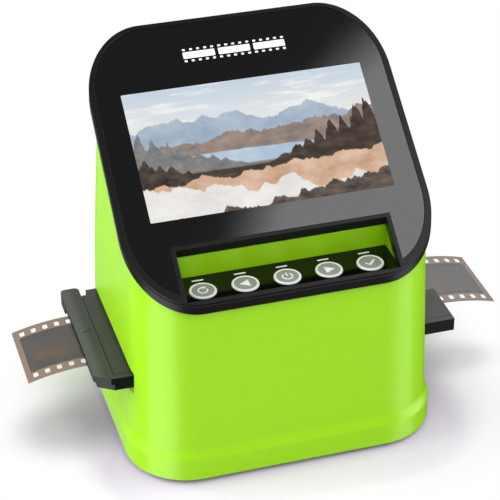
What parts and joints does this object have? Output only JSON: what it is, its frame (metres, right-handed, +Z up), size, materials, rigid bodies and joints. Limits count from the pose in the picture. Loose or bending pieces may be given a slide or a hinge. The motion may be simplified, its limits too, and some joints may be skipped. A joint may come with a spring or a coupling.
{
  "type": "desktop film negative scanner",
  "caption": "Desktop film scanner: tapered housing, leaning display panel over a key well, and a sliding clamshell holder that carries a film strip through side slots.",
  "frame": {"origin": "on the surface that the feet stand on, under the middle of the footprint", "axes": "+X to the right of a person facing the display, along the film; +Y away from that person; +Z up"},
  "size_m": [0.192, 0.1046, 0.1501],
  "materials": {
    "housing_plastic": "smooth moulded plastic with a soft gloss, lime green",
    "dark_plastic": "matt moulded plastic, black",
    "foot_rubber": "matt rubber, black",
    "screw_steel": "zinc-plated steel",
    "panel_plastic": "satin moulded plastic, dark grey",
    "panel_glass": "polished acrylic window, black behind, clear over the display",
    "display": "lit display behind the window",
    "sheet_metal": "plain sheet steel",
    "key_plate_plastic": "glossy black plastic",
    "circuit_board": "green solder mask",
    "switch_metal": "small stamped covers",
    "button_plastic": "silver centre in a pale ring",
    "holder_plastic": "satin moulded plastic, black",
    "film": "developed colour negative film, brown and part transparent",
    "white_plastic": "matt white plastic",
    "lens_glass": "coated glass",
    "sensor": "glossy chip cover",
    "socket_metal": "plated steel"
  },
  "bodies": {
    "housing": {"body_shell": "housing_plastic", "base_plate": "dark_plastic", "rubber_feet": "foot_rubber", "base_screws": "screw_steel", "panel_frame": "panel_plastic", "front_glass": "panel_glass", "lcd_module": "display", "lcd_bracket": "sheet_metal", "bracket_screws": "screw_steel", "key_plate": "key_plate_plastic", "key_board": "circuit_board", "key_screws": "screw_steel", "tact_switches": "switch_metal", "holder_guide": "dark_plastic", "guide_screws": "screw_steel", "detent_spring": "sheet_metal", "light_board": "circuit_board", "light_leds": "white_plastic", "light_box": "white_plastic", "diffuser": "white_plastic", "camera_tower": "dark_plastic", "lens_barrel": "dark_plastic", "lens_glass": "lens_glass", "sensor_board": "circuit_board", "image_sensor": "sensor", "main_board": "circuit_board", "board_screws": "screw_steel", "usb_socket": "socket_metal", "card_socket": "socket_metal", "video_socket": "socket_metal"},
    "holder": {"holder_tray": "holder_plastic", "holder_lid": "holder_plastic", "lid_pins": "sheet_metal"},
    "film": {"film_strip": "film"},
    "key_mode": {"button_mode": "button_plastic", "plunger_mode": "dark_plastic"},
    "key_left": {"button_left": "button_plastic", "plunger_left": "dark_plastic"},
    "key_power": {"button_power": "button_plastic", "plunger_power": "dark_plastic"},
    "key_right": {"button_right": "button_plastic", "plunger_right": "dark_plastic"},
    "key_ok": {"button_ok": "button_plastic", "plunger_ok": "dark_plastic"}
  },
  "joints": [
    {"name": "holder_slide", "type": "slide", "parent": "housing", "child": "holder", "axis": [1, 0, 0], "range_m": [-0.125, 0.005], "deforming": ["detent_spring"]},
    {"name": "film_slide", "type": "slide", "parent": "holder", "child": "film", "axis": [1, 0, 0], "range_m": [-0.038, 0.038], "deforming": ["film_strip"]},
    {"name": "mode_press", "type": "slide", "parent": "housing", "child": "key_mode", "axis": [0, 0, -1], "range_m": [0, 0.0005], "stiffness_N_per_m": 3200},
    {"name": "left_press", "type": "slide", "parent": "housing", "child": "key_left", "axis": [0, 0, -1], "range_m": [0, 0.0005], "stiffness_N_per_m": 3200},
    {"name": "power_press", "type": "slide", "parent": "housing", "child": "key_power", "axis": [0, 0, -1], "range_m": [0, 0.0005], "stiffness_N_per_m": 3200},
    {"name": "right_press", "type": "slide", "parent": "housing", "child": "key_right", "axis": [0, 0, -1], "range_m": [0, 0.0005], "stiffness_N_per_m": 3200},
    {"name": "ok_press", "type": "slide", "parent": "housing", "child": "key_ok", "axis": [0, 0, -1], "range_m": [0, 0.0005], "stiffness_N_per_m": 3200}
  ]
}
